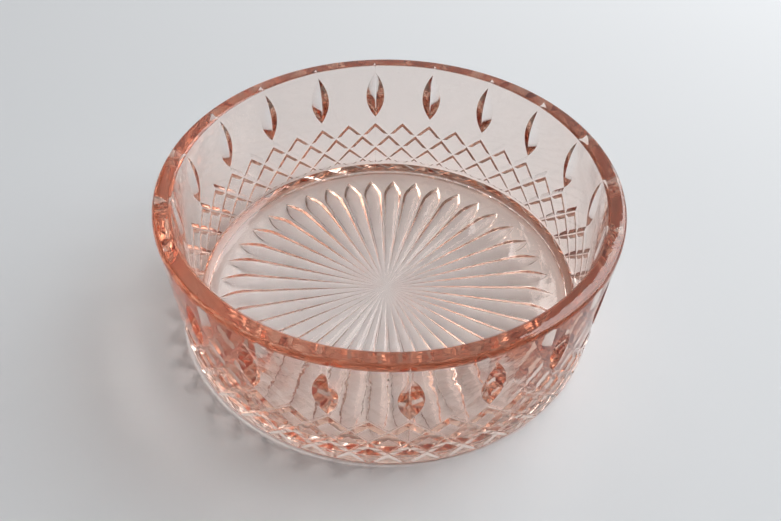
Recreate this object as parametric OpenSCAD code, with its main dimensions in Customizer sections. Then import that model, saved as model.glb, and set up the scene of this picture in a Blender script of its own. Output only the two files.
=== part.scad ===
// Round pressed-glass dish: heavy, nearly upright wall with a row of upright lens cuts, a band
// of flat-topped diamonds below them, and a star of V-shaped rays under the floor.
// Origin: centre of the foot, on the surface that the dish stands on. +Z is up.

/* [Bowl] */
// Diameter over the rim
rim_d = 178; // [150:1:210]
// Height from the table to the rim
bowl_h = 60; // [57:0.5:70]
// Diameter where the wall meets the foot
base_d = 173; // [144:1:206]
// Thickness of the wall at the rim
wall_t = 7; // [6:0.5:10]
// Thickness of the wall above the cove
wall_low_t = 8; // [7:0.5:10]
// Height of the floor above the table
floor_t = 4.5; // [4:0.5:9]

/* [Rim] */
// Rounding of the rim's outer edge
rim_outer_r = 2; // [0.5:0.1:2.5]
// Rounding of the rim's inner edge
rim_inner_r = 1.2; // [0.3:0.1:1.5]

/* [Floor and foot] */
// Radius of the cove between wall and floor
cove_r = 5; // [2:0.5:8]
// Rounding of the foot's edge
foot_r = 1.2; // [0.5:0.1:1.6]
// Width of the ring that the dish stands on
standing_w = 8; // [4:0.5:12]
// Depth of the recess that lifts the star clear of the table
recess_h = 0.5; // [0.3:0.1:1]

/* [Lens cuts] */
// Number of upright cuts round the wall
cut_count = 20; // [12:1:24]
// Length of a cut
cut_len = 24; // [16:0.5:26]
// Width of a cut at its middle
cut_w = 8.6; // [4:0.1:9]
// Depth of a cut at its middle
cut_depth = 3; // [1:0.1:3.5]
// Plain glass between a cut's lower tip and the diamonds
cut_gap = 2.9; // [2.6:0.1:3.4]

/* [Diamond band] */
// Diamonds round the band for each lens cut
diamonds_per_cut = 2; // [1:1:3]
// Height of the lowest points of the diamonds above the table
band_low_z = 1.5; // [1.5:0.1:3]
// Height of one diamond
diamond_h = 13; // [11:0.5:13]
// Depth of the grooves between the diamonds
groove_depth = 1.1; // [0.5:0.1:1.5]
// Share of a diamond's width that the grooves take
groove_share = 0.35; // [0.1:0.05:0.35]

/* [Star] */
// Number of rays in the underside
ray_count = 40; // [16:2:44]
// Length of a ray from the centre
ray_len = 71.5; // [50:0.5:73]
// Width of a ray near its outer tip
ray_w = 8.2; // [3:0.1:9]
// Depth of a ray near its outer tip
ray_depth = 1.4; // [0.8:0.1:2]
// Turn of the star against the lens cuts, in degrees
star_turn = 1.7; // [0:0.1:4.5]

/* [Hidden] */
$fn = 96;
rim_r = rim_d / 2;
base_r = base_d / 2;
taper = atan((rim_r - base_r) / bowl_h);
cut_step = 360 / cut_count;

// The diamonds: columns are half a diamond apart, and points sit on every other column
across = cut_count * diamonds_per_cut;
columns = 2 * across;
half_step = 180 / across;
half_h = diamond_h / 2;
rows = 4;
band_top_z = band_low_z + rows * half_h;
cut_low_z = band_top_z + cut_gap;
lift = 0.6; // how far the cutter's valleys stand out of the glass
cutter_t = 1.5; // thickness of the cutter behind its valleys
flat = 1 - groove_share * (1 + lift / groove_depth); // half width of a valley, in columns
collar_z = band_top_z + half_h * (1 - flat) + 0.5;

// Outer radius of the wall at height z
function wall_r(z) = base_r + (rim_r - base_r) * z / bowl_h;

// A point at a column and height, a given depth under the wall's surface
function spot(column, z, depth = 0) =
    let (r = wall_r(z) - depth, a = column * half_step) [r * cos(a), r * sin(a), z];

// Half section of the glass, before anything is cut into it
module half_section() {
    difference() {
        polygon([[0, 0], [base_r, 0], [rim_r, bowl_h], [0, bowl_h]]);
        translate([rim_r, bowl_h]) rotate(180) corner(rim_outer_r);
        translate([rim_r - wall_t, bowl_h]) rotate(270) corner(rim_inner_r);
        translate([base_r, 0]) rotate(90) corner(foot_r);
        square([base_r - standing_w, recess_h]);
        hollow_section();
    }
}

// Half section of the hollow: straight wall, coved corner, flat floor
module hollow_section() {
    cove_z = floor_t + cove_r;
    cove_x = wall_r(cove_z) - wall_low_t - cove_r;
    translate([0, floor_t]) square([cove_x, cove_r]);
    translate([cove_x, cove_z]) circle(cove_r);
    polygon([[0, cove_z], [cove_x + cove_r, cove_z], [rim_r - wall_t, bowl_h], [0, bowl_h]]);
}

// Square corner less its inscribed round: taking it away rounds an edge
module corner(r) {
    difference() {
        translate([-1, -1]) square(r + 1);
        translate([r, r]) circle(r);
    }
}

// Edge of one V-edged wheel, which leaves a lens with a crease down its middle
module lens_cutter() {
    wheel_r = cut_len * cut_len / (8 * cut_depth) + cut_depth / 2;
    mid_z = cut_low_z + cut_len / 2;
    edge_t = cut_depth + 2;
    half_w = edge_t * cut_w / 2 / cut_depth;
    translate([wall_r(mid_z) - cut_depth, 0, mid_z]) rotate([0, taper, 0])
        translate([wheel_r, 0, 0]) rotate([90, 0, 0]) rotate_extrude()
            polygon([[wheel_r - edge_t, -half_w], [wheel_r, 0], [wheel_r - edge_t, half_w]]);
}

module lens_cuts() {
    for (i = [0 : cut_count - 1]) rotate([0, 0, i * cut_step]) lens_cutter();
}

// Ring round the wall whose ridges leave the grooves between the diamonds. A crossing is where
// two ridges meet, one diamond apart along each row, and each row is shifted half a diamond.
// Between the ridges the ring stands clear of the glass, so the diamonds keep the wall's surface.
module diamond_grooves() {
    function row_z(j) = band_top_z - j * half_h;
    crossings = [for (j = [0 : rows], k = [0 : across - 1])
        spot(2 * k + j % 2, row_z(j), groove_depth)];
    tops = [for (j = [1 : rows - 1], k = [0 : across - 1])
        let (c = 2 * k + 1 - j % 2, z = row_z(j))
        each [spot(c, z + half_h * flat, -lift), spot(c + flat, z, -lift),
            spot(c, z - half_h * flat, -lift), spot(c - flat, z, -lift)]];
    // Above the top row: the zigzag's peaks and valleys, then the collar
    peaks = [for (k = [0 : across - 1]) spot(2 * k, band_top_z + half_h * (1 - flat), -lift)];
    valleys = [for (k = [0 : across - 1]) spot(2 * k + 1, band_top_z - half_h * flat, -lift)];
    collar = [for (c = [0 : columns - 1]) spot(c, collar_z, -lift)];
    // Below the bottom row: half diamonds that stand on the foot
    halves = [for (k = [0 : across - 1]) let (c = 2 * k + 1, z = band_low_z)
        each [spot(c, z + half_h * flat, -lift), spot(c + flat, z, -lift), spot(c - flat, z, -lift)]];
    back_top = [for (c = [0 : columns - 1]) spot(c, collar_z, -lift - cutter_t)];
    back_low = [for (c = [0 : columns - 1]) spot(c, band_low_z, -lift - cutter_t)];

    first_top = len(crossings);
    first_peak = first_top + len(tops);
    first_valley = first_peak + across;
    first_collar = first_valley + across;
    first_half = first_collar + columns;
    first_back_top = first_half + len(halves);
    first_back_low = first_back_top + columns;

    function crossing(j, k) = j * across + (k + across) % across;
    function top(j, k, i) = first_top + ((j - 1) * across + k) * 4 + i;
    function peak(k) = first_peak + k % across;
    function half(k, i) = first_half + k * 3 + i;
    function collar(c) = first_collar + c % columns;
    function back_top(c) = first_back_top + c % columns;
    function back_low(c) = first_back_low + c % columns;
    function two(a, b, c, d) = [[a, b, c], [a, c, d]];

    diamond_faces = [for (j = [1 : rows - 1], k = [0 : across - 1])
        let (up = crossing(j - 1, k), down = crossing(j + 1, k),
            right = crossing(j, j % 2 == 1 ? k : k + 1), left = crossing(j, j % 2 == 1 ? k - 1 : k),
            t = top(j, k, 0), r = top(j, k, 1), b = top(j, k, 2), l = top(j, k, 3))
        each concat(two(t, r, b, l), two(up, right, r, t), two(right, down, b, r),
            two(down, left, l, b), two(left, up, t, l))];
    zigzag_faces = [for (k = [0 : across - 1])
        let (c = 2 * k + 1, v = first_valley + k, low = crossing(1, k))
        each concat(two(crossing(0, k), peak(k), v, low), two(low, v, peak(k + 1), crossing(0, k + 1)),
            two(peak(k), collar(c - 1), collar(c), v), two(v, collar(c), collar(c + 1), peak(k + 1)))];
    half_faces = [for (k = [0 : across - 1])
        let (t = half(k, 0), r = half(k, 1), l = half(k, 2), up = crossing(3, k),
            left = crossing(4, k), right = crossing(4, k + 1), c = 2 * k + 1)
        each concat([[t, r, l]], two(up, right, r, t), two(left, up, t, l),
            [[left, l, back_low(c - 1)], [l, back_low(c), back_low(c - 1)], [l, r, back_low(c)],
                [r, back_low(c + 1), back_low(c)], [r, right, back_low(c + 1)]])];
    back_faces = [for (c = [0 : columns - 1])
        each concat(two(collar(c), back_top(c), back_top(c + 1), collar(c + 1)),
            two(back_top(c), back_low(c), back_low(c + 1), back_top(c + 1)))];
    polyhedron(
        points = concat(crossings, tops, peaks, valleys, collar, halves, back_top, back_low),
        faces = [for (f = concat(diamond_faces, zigzag_faces, half_faces, back_faces)) [f[2], f[1], f[0]]]);
}

// Star of V-shaped rays. They share their edges near the middle, then part and end in points.
module star() {
    shoulder = ray_len * 0.86;
    half_turn = 180 / ray_count;
    half_w = min(ray_w / 2, 0.92 * shoulder * tan(half_turn));
    root = half_w / tan(half_turn);
    low = recess_h - 1;
    rim = recess_h - 0.1;
    side = atan(half_w / shoulder);
    function at(r, a, z) = [r * cos(a), r * sin(a), z];
    // Round the star, for each ray: root, shoulder, tip and shoulder
    outline = [for (i = [0 : ray_count - 1]) let (a = 2 * i * half_turn)
        each [[root, a - half_turn], [shoulder, a - side], [ray_len, a], [shoulder, a + side]]];
    around = len(outline);
    crests = [for (i = [0 : ray_count - 1]) at(shoulder, 2 * i * half_turn, recess_h + ray_depth)];
    hub_low = 2 * around + ray_count;
    hub_top = hub_low + 1;
    ray_faces = [for (i = [0 : ray_count - 1])
        let (o = around + 4 * i, next = around + (4 * i + 4) % around, crest = 2 * around + i)
        each [[hub_top, crest, o], [o, crest, o + 1], [o + 1, crest, o + 2],
            [o + 2, crest, o + 3], [o + 3, crest, next], [next, crest, hub_top]]];
    side_faces = [for (i = [0 : around - 1]) let (n = (i + 1) % around)
        each [[i, around + i, around + n], [i, around + n, n], [hub_low, i, n]]];
    polyhedron(
        points = concat([for (p = outline) at(p[0], p[1], low)], [for (p = outline) at(p[0], p[1], rim)],
            crests, [[0, 0, low], [0, 0, recess_h + ray_depth / 3]]),
        faces = concat(ray_faces, side_faces));
}

module bowl() {
    color([0.93, 0.72, 0.65, 0.5]) difference() {
        difference() {
            rotate_extrude() half_section();
            lens_cuts();
            rotate([0, 0, star_turn]) star();
        }
        diamond_grooves();
    }
}

bowl();
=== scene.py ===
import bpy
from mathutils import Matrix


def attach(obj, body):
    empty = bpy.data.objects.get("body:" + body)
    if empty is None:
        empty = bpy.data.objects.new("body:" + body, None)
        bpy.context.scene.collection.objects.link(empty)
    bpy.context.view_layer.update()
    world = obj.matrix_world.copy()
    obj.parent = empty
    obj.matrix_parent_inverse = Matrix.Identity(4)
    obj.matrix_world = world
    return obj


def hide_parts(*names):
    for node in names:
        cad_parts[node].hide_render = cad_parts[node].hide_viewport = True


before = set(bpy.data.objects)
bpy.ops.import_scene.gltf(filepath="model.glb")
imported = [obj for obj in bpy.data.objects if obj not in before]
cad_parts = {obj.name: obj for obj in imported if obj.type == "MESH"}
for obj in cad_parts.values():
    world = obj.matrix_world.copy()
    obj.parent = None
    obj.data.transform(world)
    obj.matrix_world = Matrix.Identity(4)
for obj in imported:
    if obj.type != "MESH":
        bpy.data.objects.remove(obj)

"""Round dish of pressed pink glass: one closed piece of glass, its finish, and a plain studio.

Lengths are metres. +Z is up, and the origin is the centre of the foot.
"""

import logging
import math
from collections.abc import Callable
from dataclasses import dataclass, field
from enum import Enum

import bmesh
import bpy
from mathutils import Matrix, Vector

MM = 0.001
NEAR = 0.1 * MM
TIP_SHARE = 0.004
LOG = logging.getLogger("dish")


class Kind(Enum):
    """What a test on vertices selects."""

    EDGE = "EDGE"
    FACE = "FACE"
    VERT = "VERT"


class Join(Enum):
    """What a boolean does with its tool."""

    ADD = "UNION"
    TAKE = "DIFFERENCE"


class Lean(Enum):
    """Which way a family of grooves leans as it rises."""

    LEFT = 1
    RIGHT = -1


# ---------------------------------------------------------------- modelling helpers


def deselect() -> None:
    """Leave edit mode and leave nothing selected."""
    if bpy.context.object and bpy.context.object.mode != "OBJECT":
        bpy.ops.object.mode_set(mode="OBJECT")
    bpy.ops.object.select_all(action="DESELECT")


def take_up(piece: bpy.types.Object) -> None:
    """Make a piece the only one selected, and active.

    Args:
        piece: The object to work on.
    """
    deselect()
    piece.select_set(True)
    bpy.context.view_layer.objects.active = piece


def fresh(name: str) -> bpy.types.Object:
    """Name the primitive that an operator has just added, and settle it.

    Args:
        name: The piece's name.

    Returns:
        The new object.
    """
    piece = bpy.context.object
    piece.name = name
    piece.data.name = name
    bpy.ops.object.transform_apply(location=True, rotation=True, scale=True)
    return piece


def pick(piece: bpy.types.Object, test: Callable[[Vector], bool], kind: Kind) -> None:
    """Select, in edit mode, what lies where a test says.

    Args:
        piece: The object, which is in edit mode.
        test: Takes a vertex's place and says whether it counts. An edge or a face counts when
            all of its vertices do.
        kind: What to select.
    """
    bpy.ops.mesh.select_mode(type=kind.value)
    bpy.ops.mesh.select_all(action="DESELECT")
    mesh = bmesh.from_edit_mesh(piece.data)
    chosen = {v.index for v in mesh.verts if test(v.co)}
    if kind is Kind.VERT:
        for v in mesh.verts:
            v.select_set(v.index in chosen)
    else:
        for row in mesh.edges if kind is Kind.EDGE else mesh.faces:
            row.select_set(all(v.index in chosen for v in row.verts))
    mesh.select_flush_mode()
    bmesh.update_edit_mesh(piece.data)


def extrude_up(rise: float, across: float = 1.0, along: float = 1.0, turn: float = 0.0,
               centre: tuple[float, float, float] = (0, 0, 0)) -> None:
    """Extrude the selected face along Z, then scale and turn it about a vertical line.

    Args:
        rise: How far the new face moves along Z.
        across: Scale of the new face along Y.
        along: Scale of the new face along X.
        turn: Turn about the Z axis, in radians, counter-clockwise from above.
        centre: A point on the vertical line.
    """
    bpy.ops.mesh.extrude_region_move(TRANSFORM_OT_translate={"value": (0, 0, rise)})
    if (across, along) != (1.0, 1.0):
        bpy.ops.transform.resize(value=(along, across, 1), center_override=centre)
    if turn:
        bpy.ops.transform.rotate(value=-turn, orient_axis="Z", center_override=centre)


def close_up() -> None:
    """Turn the edited mesh's faces outward and leave edit mode."""
    bpy.ops.mesh.select_all(action="SELECT")
    bpy.ops.mesh.normals_make_consistent(inside=False)
    bpy.ops.object.mode_set(mode="OBJECT")


def ring_of(tool: bpy.types.Object, count: int) -> bpy.types.Object:
    """Copy a tool evenly round the Z axis and join the copies into one object.

    Args:
        tool: The tool in its first place.
        count: How many there are in all.

    Returns:
        The joined tool, with every copy's place in its mesh.
    """
    copies = []
    for i in range(1, count):
        copy = tool.copy()
        copy.data = tool.data.copy()
        copy.data.transform(Matrix.Rotation(math.tau * i / count, 4, "Z"))
        bpy.context.scene.collection.objects.link(copy)
        copies.append(copy)
    take_up(tool)
    for copy in copies:
        copy.select_set(True)
    bpy.ops.object.join()
    return tool


def combine(body: bpy.types.Object, tool: bpy.types.Object, how: Join) -> None:
    """Cut a tool out of a body, or add it, and delete the tool.

    Args:
        body: The piece that is kept.
        tool: A closed mesh whose parts don't overlap each other.
        how: Whether the tool is taken away or added.
    """
    take_up(body)
    step = body.modifiers.new("cut", "BOOLEAN")
    step.operation = how.value
    step.object = tool
    step.solver = "MANIFOLD"
    bpy.ops.object.modifier_apply(modifier=step.name)
    LOG.info("%s: %s, %d faces", body.name, tool.name, len(body.data.polygons))
    bpy.data.objects.remove(tool)


# ---------------------------------------------------------------- the dish


@dataclass
class Blank:
    """The turned shape of the dish before anything is cut into it."""

    rim_r: float = 88.9 * MM
    height: float = 60.0 * MM
    base_r: float = 86.5 * MM
    inner_r: float = 81.9 * MM
    cove_top_r: float = 78.8 * MM
    cove_top_z: float = 8.4 * MM
    cove_mid_r: float = 77.6 * MM
    cove_mid_z: float = 6.1 * MM
    floor_r: float = 72.4 * MM
    floor_z: float = 4.5 * MM
    rim_outer_r: float = 2.0 * MM
    rim_inner_r: float = 1.2 * MM
    foot_r: float = 1.2 * MM
    standing_w: float = 8.0 * MM
    recess_h: float = 0.5 * MM
    recess_slope: float = 1.5
    floor_lip: float = 0.3 * MM
    facets: int = 360
    cove_steps: int = 12
    rim_outer_steps: int = 10
    rim_inner_steps: int = 8
    foot_steps: int = 8

    def radius(self, z: float) -> float:
        """Outer radius at height z."""
        return self.base_r + (self.rim_r - self.base_r) * z / self.height

    @property
    def taper(self) -> float:
        """How far the wall leans out, in radians."""
        return math.atan2(self.rim_r - self.base_r, self.height)

    def build(self) -> bpy.types.Object:
        """Model the blank from a cylinder: flare it, hollow it, cove it, recess it, round it.

        Returns:
            The closed blank.
        """
        deselect()
        bpy.ops.mesh.primitive_cylinder_add(
            vertices=self.facets, radius=self.base_r, depth=self.height,
            location=(0, 0, self.height / 2))
        piece = fresh("glass_dish")
        bpy.ops.object.mode_set(mode="EDIT")
        pick(piece, lambda p: p.z > self.height - NEAR, Kind.VERT)
        scale = self.rim_r / self.base_r
        bpy.ops.transform.resize(value=(scale, scale, 1), center_override=(0, 0, 0))
        self._hollow(piece)
        self._recess(piece)
        self._round_edges(piece)
        close_up()
        LOG.info("%s: blank of %d faces", piece.name, len(piece.data.polygons))
        return piece

    def _hollow(self, piece: bpy.types.Object) -> None:
        """Sink the top face: the rim's land, the wall, the cove and the floor.

        Args:
            piece: The flared cylinder, in edit mode.
        """
        pick(piece, lambda p: p.z > self.height - NEAR, Kind.FACE)
        stations = [(self.inner_r, self.height), (self.cove_top_r, self.cove_top_z)]
        top = Vector((self.cove_top_r, self.cove_top_z))
        middle = Vector((self.cove_mid_r, self.cove_mid_z))
        floor = Vector((self.floor_r, self.floor_z))
        for i in range(1, self.cove_steps + 1):
            share = i / self.cove_steps
            stations.append(top.lerp(middle, share).lerp(middle.lerp(floor, share), share))
        stations.append((self.floor_r - self.floor_lip, self.floor_z))
        r, z = self.rim_r, self.height
        for next_r, next_z in stations:
            extrude_up(next_z - z, next_r / r, next_r / r)
            r, z = next_r, next_z

    def _recess(self, piece: bpy.types.Object) -> None:
        """Lift the middle of the underside clear of the table.

        Args:
            piece: The hollowed blank, in edit mode.
        """
        pick(piece, lambda p: p.z < NEAR, Kind.FACE)
        inner = self.base_r - self.standing_w
        scale = inner / self.base_r
        extrude_up(0, scale, scale)
        scale = (inner - self.recess_slope * self.recess_h) / inner
        extrude_up(self.recess_h, scale, scale)

    def _round_edges(self, piece: bpy.types.Object) -> None:
        """Round the rim's two edges and the foot's edge.

        Args:
            piece: The recessed blank, in edit mode.
        """
        edges = [(self.rim_r, self.height, self.rim_outer_r, self.rim_outer_steps),
                 (self.inner_r, self.height, self.rim_inner_r, self.rim_inner_steps),
                 (self.base_r, 0.0, self.foot_r, self.foot_steps)]
        for r, z, size, segments in edges:
            pick(piece, lambda p, r=r, z=z: abs(p.z - z) < NEAR / 2 and abs(p.xy.length - r) < NEAR / 2,
                 Kind.EDGE)
            bpy.ops.mesh.bevel(offset=size, segments=segments, profile=0.5, affect="EDGES")


@dataclass
class Groove:
    """The section of a cut made by a V-edged wheel.

    The section is a triangle in the XY plane with its edge at -X. It is enlarged, so that its
    back stands clear of the glass, and its edge can be rounded.
    """

    half_w: float
    depth: float
    spare: float = 1.4
    soft: float = 0.0
    soft_steps: int = 4

    def start(self, name: str, surface_x: float, z: float, scale: float = 1.0) -> bpy.types.Object:
        """Add the section as one face, and enter edit mode with it selected.

        Args:
            name: The tool's name.
            surface_x: Where the surface that the V is cut into stands along X.
            z: The height to start at.
            scale: Size of this first section against the full one.

        Returns:
            The tool, in edit mode.
        """
        deselect()
        bpy.ops.mesh.primitive_circle_add(
            vertices=3, radius=1, fill_type="NGON", rotation=(0, 0, math.pi / 2))
        tool = fresh(name)
        bpy.ops.object.mode_set(mode="EDIT")
        bpy.ops.mesh.select_all(action="SELECT")
        deep = self.depth * self.spare * scale
        wide = self.half_w * self.spare * scale
        # The circle's three corners stand 1.5 radii deep and 2 sin 60 radii wide
        stretch = deep / 1.5
        bpy.ops.transform.resize(value=(stretch, wide / math.sin(math.pi / 3), 1),
                                 center_override=(0, 0, 0))
        edge_x = surface_x - self.depth * scale
        bpy.ops.transform.translate(value=(edge_x + stretch, 0, z))
        if self.soft:
            pick(tool, lambda p: p.x < edge_x + deep / 10, Kind.VERT)
            bpy.ops.mesh.bevel(offset=self.soft * scale, segments=self.soft_steps, affect="VERTICES")
            bpy.ops.mesh.select_mode(type="FACE")
            bpy.ops.mesh.select_all(action="SELECT")
        return tool


@dataclass
class Flute(Groove):
    """A rounder section: an ellipse, steep at its sides and nearly flat in the middle.

    Its centre is sunk outside the glass by a share of its half depth, so its sides lean.
    """

    sink: float = 0.25
    corners: int = 28

    def start(self, name: str, surface_x: float, z: float, scale: float = 1.0) -> bpy.types.Object:
        """Add the ellipse as one face, and enter edit mode with it selected.

        Args:
            name: The tool's name.
            surface_x: Where the surface that the flute is cut into stands along X.
            z: The height to start at.
            scale: Size of this first section against the full one.

        Returns:
            The tool, in edit mode.
        """
        deselect()
        bpy.ops.mesh.primitive_circle_add(vertices=self.corners, radius=1, fill_type="NGON")
        tool = fresh(name)
        bpy.ops.object.mode_set(mode="EDIT")
        bpy.ops.mesh.select_all(action="SELECT")
        deep = self.depth * scale / (1 - self.sink)
        bpy.ops.transform.resize(value=(deep, self.half_w * scale, 1), center_override=(0, 0, 0))
        bpy.ops.transform.translate(value=(surface_x + self.sink * deep, 0, z))
        return tool


@dataclass
class Seams:
    """The two fine upright ridges that the mould's halves left, front and back."""

    blank: Blank
    width: float = 0.5 * MM
    proud: float = 0.12 * MM
    low_z: float = 1.6 * MM
    high_z: float = 57.5 * MM

    def tool(self) -> bpy.types.Object:
        """Model one ridge from a cube on its edge, lean it with the wall, and copy it opposite.

        Returns:
            The joined ridges.
        """
        deselect()
        bpy.ops.mesh.primitive_cube_add(size=1)
        ridge = fresh("mould_seam")
        bpy.ops.object.mode_set(mode="EDIT")
        bpy.ops.mesh.select_all(action="SELECT")
        bpy.ops.transform.rotate(value=math.pi / 4, orient_axis="Z", center_override=(0, 0, 0))
        diagonal = math.sqrt(2)
        bpy.ops.transform.resize(
            value=(self.width / diagonal, 2 * self.proud / diagonal, self.high_z - self.low_z),
            center_override=(0, 0, 0))
        low_r = self.blank.radius(self.low_z)
        bpy.ops.transform.translate(value=(0, low_r, (self.high_z + self.low_z) / 2))
        pick(ridge, lambda p: p.z > self.high_z - NEAR, Kind.FACE)
        bpy.ops.transform.translate(value=(0, self.blank.radius(self.high_z) - low_r, 0))
        close_up()
        return ring_of(ridge, 2)


@dataclass
class LensCuts:
    """The row of upright leaf-shaped cuts round the wall."""

    blank: Blank
    count: int = 20
    section: Groove = field(default_factory=lambda: Groove(4.5 * MM, 4.2 * MM, soft=0.5 * MM))
    low_z: float = 30.2 * MM
    mid_z: float = 41.5 * MM
    top_z: float = 54.0 * MM
    steps: int = 24

    def size_at(self, z: float) -> float:
        """Share of the full section at height z: a leaf that is widest at mid_z."""
        span = (self.mid_z - self.low_z) if z < self.mid_z else (self.top_z - self.mid_z)
        return max(1 - ((z - self.mid_z) / span) ** 2, TIP_SHARE)

    def tool(self) -> bpy.types.Object:
        """Draw the V up the wall, section by section, and set it round the dish.

        Returns:
            The joined cutters.
        """
        surface = self.blank.radius(self.mid_z)
        # Closer together towards both tips, where the outline turns most
        shares = [(1 - math.cos(math.pi * i / self.steps)) / 2 for i in range(self.steps + 1)]
        heights = [self.low_z + (self.top_z - self.low_z) * share for share in shares]
        size, z = self.size_at(heights[0]), heights[0]
        leaf = self.section.start("lens_cutter", surface, z, size)
        for next_z in heights[1:]:
            next_size = self.size_at(next_z)
            extrude_up(next_z - z, next_size / size, next_size / size, centre=(surface, 0, 0))
            size, z = next_size, next_z
        close_up()
        hinge = Vector((surface, 0, self.mid_z))
        leaf.data.transform(Matrix.Translation(hinge) @ Matrix.Rotation(self.blank.taper, 4, "Y")
                            @ Matrix.Translation(-hinge))
        return ring_of(leaf, self.count)


@dataclass
class DiamondBand:
    """The band of diamonds, left between two families of leaning V grooves."""

    blank: Blank
    across: int = 40
    section: Groove = field(default_factory=lambda: Groove(2.85 * MM, 1.1 * MM, spare=1.6, soft=0.7 * MM))
    top_z: float = 27.4 * MM
    half_h: float = 6.85 * MM
    low_z: float = 1.5 * MM
    low_share: float = 0.3
    full_z: float = 13.0 * MM
    overrun: float = 3.0 * MM
    mitre_gap: float = 0.03 * MM
    aside: float = 0.032 * MM
    steps: int = 24

    def size_at(self, z: float) -> float:
        """Share of the full section at height z: the grooves run out towards the foot."""
        climbed = (z - self.low_z) / (self.full_z - self.low_z)
        return min(self.low_share + (1 - self.low_share) * climbed, 1)

    def tool(self, lean: Lean) -> bpy.types.Object:
        """Draw the V round the wall and up, mitre its top, and repeat it round the dish.

        Args:
            lean: Which way the grooves lean.

        Returns:
            The joined cutters of one family.
        """
        pitch = lean.value * math.pi / self.across / self.half_h
        rise = (self.top_z + self.overrun - self.low_z) / self.steps
        r, z = self.blank.radius(self.low_z), self.low_z
        rib = self.section.start(f"groove_cutter_{lean.name.lower()}", r, z, self.size_at(z))
        bpy.ops.transform.rotate(value=-pitch * (z - self.top_z), orient_axis="Z",
                                 center_override=(0, 0, 0))
        for _ in range(self.steps):
            scale = self.blank.radius(z + rise) / r
            extrude_up(rise, scale, scale, pitch * rise)
            grow = self.size_at(z + rise) / self.size_at(z)
            z += rise
            r = self.blank.radius(z)
            on_wall = Matrix.Rotation(pitch * (z - self.top_z), 4, "Z") @ Vector((r, 0, 0))
            bpy.ops.transform.resize(value=(grow, grow, 1), center_override=on_wall)
        bpy.ops.mesh.select_all(action="SELECT")
        bpy.ops.mesh.bisect(plane_co=(0, lean.value * self.mitre_gap, 0), plane_no=(0, lean.value, 0),
                            use_fill=True, clear_outer=True)
        close_up()
        if lean is Lean.RIGHT:
            # A hair aside, so that the two families' creases never meet in one point
            rib.data.transform(Matrix.Rotation(self.aside / self.blank.base_r, 4, "Z")
                               @ Matrix.Translation((0, 0, 0.6 * self.aside)))
        return ring_of(rib, self.across)


@dataclass
class Star:
    """The star of rays in the underside, each a flute whose outer end is a pointed arch."""

    blank: Blank
    count: int = 40
    section: Flute = field(default_factory=lambda: Flute(4.25 * MM, 1.55 * MM))
    root_r: float = 1.5 * MM
    shoulder_r: float = 60.5 * MM
    tip_r: float = 71.8 * MM
    off_centre: tuple[float, float] = (-1.1 * MM, -2.1 * MM)
    flat_share: float = 0.25
    arch_power: float = 1.8
    arch_swell: float = 0.12
    steps: int = 12
    turn: float = math.radians(1.74)

    def width_at(self, r: float) -> float:
        """Share of the full width at radius r: a wedge that ends in a pointed arch."""
        if r <= self.shoulder_r:
            return r / self.shoulder_r
        share = (r - self.shoulder_r) / (self.tip_r - self.shoulder_r)
        return max((1 - share ** self.arch_power) * (1 + self.arch_swell * share), TIP_SHARE)

    def tool(self) -> bpy.types.Object:
        """Draw the flute upright from its root to its tip, lay it down and repeat it.

        Near the centre the flute is flatter as well as narrower.

        Returns:
            The joined cutters.
        """
        reach = [self.shoulder_r * i / self.steps for i in range(2, self.steps)]
        reach += [self.shoulder_r + (self.tip_r - self.shoulder_r) * i / self.steps
                  for i in range(self.steps + 1)]
        z = self.root_r
        wide = self.width_at(z)
        deep = wide * self.flat_share
        ray = self.section.start("ray_cutter", 0.0, z, wide)
        bpy.ops.transform.resize(value=(self.flat_share, 1, 1), center_override=(0, 0, 0))
        for next_z in reach:
            next_wide = self.width_at(next_z)
            steepness = self.flat_share + (1 - self.flat_share) * next_z / self.shoulder_r
            next_deep = next_wide * min(steepness, 1)
            extrude_up(next_z - z, next_wide / wide, next_deep / deep)
            z, wide, deep = next_z, next_wide, next_deep
        close_up()
        ray.data.transform(Matrix.Rotation(self.turn, 4, "Z")
                           @ Matrix.Translation((0, 0, self.blank.recess_h))
                           @ Matrix.Rotation(math.pi / 2, 4, "Y"))
        star = ring_of(ray, self.count)
        star.data.transform(Matrix.Translation((*self.off_centre, 0)))
        return star


@dataclass
class Dish:
    """The whole dish: one blank with its cuts."""

    blank: Blank = field(default_factory=Blank)
    merge: float = 1e-7
    crease: float = math.radians(14)

    def build(self) -> bpy.types.Object:
        """Model the blank, cut it and smooth it.

        Returns:
            The finished piece of glass.
        """
        piece = self.blank.build()
        combine(piece, Seams(self.blank).tool(), Join.ADD)
        combine(piece, LensCuts(self.blank).tool(), Join.TAKE)
        combine(piece, Star(self.blank).tool(), Join.TAKE)
        for lean in Lean:
            combine(piece, DiamondBand(self.blank).tool(lean), Join.TAKE)
        take_up(piece)
        bpy.ops.object.mode_set(mode="EDIT")
        bpy.ops.mesh.select_all(action="SELECT")
        bpy.ops.mesh.remove_doubles(threshold=self.merge)
        close_up()
        bpy.ops.object.shade_smooth_by_angle(angle=self.crease)
        bpy.ops.object.modifier_add(type="TRIANGULATE")
        bpy.ops.object.modifier_apply(modifier=piece.modifiers[-1].name)
        LOG.info("%s: %d faces", piece.name, len(piece.data.polygons))
        return piece


# ---------------------------------------------------------------- finishes


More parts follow.
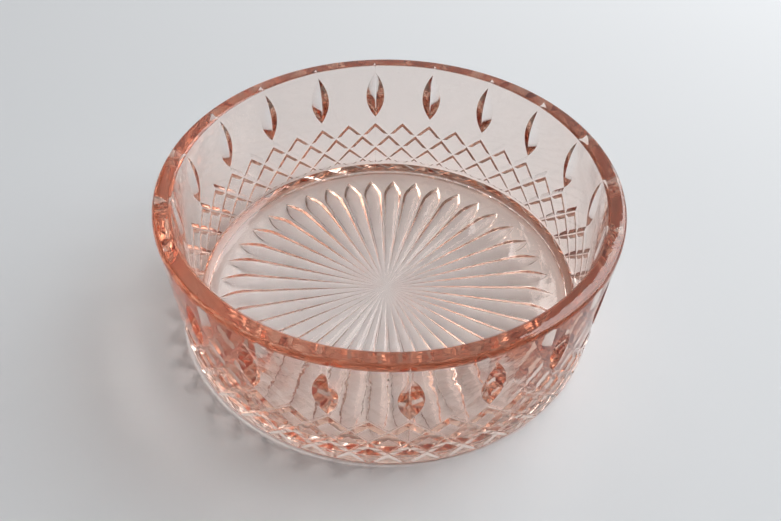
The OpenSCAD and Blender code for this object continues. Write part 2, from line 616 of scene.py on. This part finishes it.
@dataclass(frozen=True)
class Glass:
    """Clear glass with a faint tint that deepens with thickness."""

    name: str
    tint: tuple[float, float, float]
    density: float
    ior: float = 1.5
    max_roughness: float = 0.04
    ripple: float = 0.65
    ripple_h: float = 0.4 * MM
    fine_scale: float = 240.0
    fine_share: float = 0.2
    broad_scale: float = 55.0

    def material(self) -> bpy.types.Material:
        """Build the node material: a clear shell with faint ripples, and a tint inside.

        Returns:
            The material.
        """
        mat = bpy.data.materials.new(self.name)
        mat.use_nodes = True
        nodes, links = mat.node_tree.nodes, mat.node_tree.links
        shell = nodes["Principled BSDF"]
        shell.inputs["Base Color"].default_value = (1, 1, 1, 1)
        shell.inputs["Transmission Weight"].default_value = 1.0
        shell.inputs["IOR"].default_value = self.ior
        place = nodes.new("ShaderNodeTexCoord")
        fine = nodes.new("ShaderNodeTexNoise")
        fine.inputs["Scale"].default_value = self.fine_scale
        fine.inputs["Detail"].default_value = 2.0
        broad = nodes.new("ShaderNodeTexNoise")
        broad.inputs["Scale"].default_value = self.broad_scale
        broad.inputs["Detail"].default_value = 1.0
        height = nodes.new("ShaderNodeMath")
        height.operation = "MULTIPLY_ADD"
        height.inputs[1].default_value = self.fine_share
        bump = nodes.new("ShaderNodeBump")
        bump.inputs["Strength"].default_value = self.ripple
        bump.inputs["Distance"].default_value = self.ripple_h
        rough = nodes.new("ShaderNodeMapRange")
        rough.inputs["To Max"].default_value = self.max_roughness
        links.new(place.outputs["Object"], fine.inputs["Vector"])
        links.new(place.outputs["Object"], broad.inputs["Vector"])
        links.new(fine.outputs["Fac"], height.inputs[0])
        links.new(broad.outputs["Fac"], height.inputs[2])
        links.new(height.outputs["Value"], bump.inputs["Height"])
        links.new(fine.outputs["Fac"], rough.inputs["Value"])
        links.new(rough.outputs["Result"], shell.inputs["Roughness"])
        links.new(bump.outputs["Normal"], shell.inputs["Normal"])
        inside = nodes.new("ShaderNodeVolumeAbsorption")
        inside.inputs["Color"].default_value = (*self.tint, 1)
        inside.inputs["Density"].default_value = self.density
        links.new(inside.outputs["Volume"], nodes["Material Output"].inputs["Volume"])
        return mat


@dataclass(frozen=True)
class Paper:
    """Matt studio paper, very slightly uneven in tone."""

    name: str
    shade: tuple[float, float, float]
    roughness: float = 0.9
    specular: float = 0.1
    darkest: float = 0.985
    patch_scale: float = 3.0

    def material(self) -> bpy.types.Material:
        """Build the node material.

        Returns:
            The material.
        """
        mat = bpy.data.materials.new(self.name)
        mat.use_nodes = True
        nodes, links = mat.node_tree.nodes, mat.node_tree.links
        shell = nodes["Principled BSDF"]
        shell.inputs["Roughness"].default_value = self.roughness
        shell.inputs["Specular IOR Level"].default_value = self.specular
        place = nodes.new("ShaderNodeTexCoord")
        noise = nodes.new("ShaderNodeTexNoise")
        noise.inputs["Scale"].default_value = self.patch_scale
        mix = nodes.new("ShaderNodeMix")
        mix.data_type = "RGBA"
        mix.inputs["A"].default_value = (*(self.darkest * c for c in self.shade), 1)
        mix.inputs["B"].default_value = (*self.shade, 1)
        links.new(place.outputs["Object"], noise.inputs["Vector"])
        links.new(noise.outputs["Fac"], mix.inputs["Factor"])
        links.new(mix.outputs["Result"], shell.inputs["Base Color"])
        return mat


PINK_GLASS = Glass("pink_glass", tint=(0.78, 0.28, 0.0), density=24.0)
PAPER = Paper("studio_paper", (0.80, 0.81, 0.82))


# ---------------------------------------------------------------- studio


@dataclass(frozen=True)
class Lamp:
    """A square soft light that faces the dish."""

    name: str
    place: tuple[float, float, float]
    side: float
    watts: float
    colour: tuple[float, float, float] = (0.97, 0.985, 1.0)

    def build(self) -> None:
        """Add the light."""
        data = bpy.data.lights.new(self.name, "AREA")
        data.size, data.energy, data.color = self.side, self.watts, self.colour
        light = bpy.data.objects.new(self.name, data)
        light.location = self.place
        light.rotation_euler = (-Vector(self.place)).to_track_quat("-Z", "Y").to_euler()
        bpy.context.scene.collection.objects.link(light)
        LOG.info("%s: %.0f W", self.name, self.watts)


@dataclass
class Studio:
    """Pale floor, soft light and the camera, whose turn is in degrees and lens in millimetres."""

    lamps: tuple[Lamp, ...] = (Lamp("window", (1.35, 0.6, 1.1), 1.7, 41.0),
                               Lamp("behind", (0.3, 1.25, 0.9), 1.6, 4.0))
    sky: float = 0.19
    sky_colour: tuple[float, float, float] = (0.98, 0.985, 1.0)
    floor_side: float = 6.0
    floor_gap: float = 0.2 * MM
    eye: tuple[float, float, float] = (-0.02058, -0.22436, 0.24345)
    turn: tuple[float, float, float] = (44.754, -0.870, -4.566)
    lens: float = 34.957
    sensor: float = 36.0
    bounces: int = 24

    def build(self) -> None:
        """Add the floor, the lights, the sky and the camera."""
        self._floor()
        for lamp in self.lamps:
            lamp.build()
        self._sky()
        self._camera()
        self._light_paths()

    def _floor(self) -> None:
        """Lay the paper just under the dish's foot."""
        deselect()
        bpy.ops.mesh.primitive_plane_add(size=self.floor_side, location=(0, 0, -self.floor_gap))
        floor = fresh("studio_floor")
        floor.data.materials.append(PAPER.material())

    def _sky(self) -> None:
        """Set an even, pale sky."""
        world = bpy.data.worlds.new("studio_sky")
        world.use_nodes = True
        sky = world.node_tree.nodes["Background"]
        sky.inputs["Color"].default_value = (*self.sky_colour, 1)
        sky.inputs["Strength"].default_value = self.sky
        bpy.context.scene.world = world

    def _camera(self) -> None:
        """Stand the camera in front of the dish, above it."""
        data = bpy.data.cameras.new("camera")
        data.lens = self.lens
        data.sensor_width = self.sensor
        camera = bpy.data.objects.new("camera", data)
        camera.location = self.eye
        camera.rotation_euler = [math.radians(a) for a in self.turn]
        bpy.context.scene.collection.objects.link(camera)
        bpy.context.scene.camera = camera

    def _light_paths(self) -> None:
        """Let light cross the many facets of cut glass, and keep pale tones pale."""
        paths = bpy.context.scene.cycles
        paths.blur_glossy = 0.0
        paths.max_bounces = paths.transmission_bounces = paths.glossy_bounces = self.bounces
        bpy.context.scene.view_settings.view_transform = "Standard"


def main() -> None:
    """Build the dish and the studio."""
    logging.basicConfig(level=logging.INFO, format="%(name)s %(message)s")
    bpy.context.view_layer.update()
    dish = Dish().build()
    dish.data.materials.clear()
    dish.data.materials.append(PINK_GLASS.material())
    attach(dish, "root")
    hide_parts("bowl")
    Studio().build()


if __name__ == "__main__":
    main()
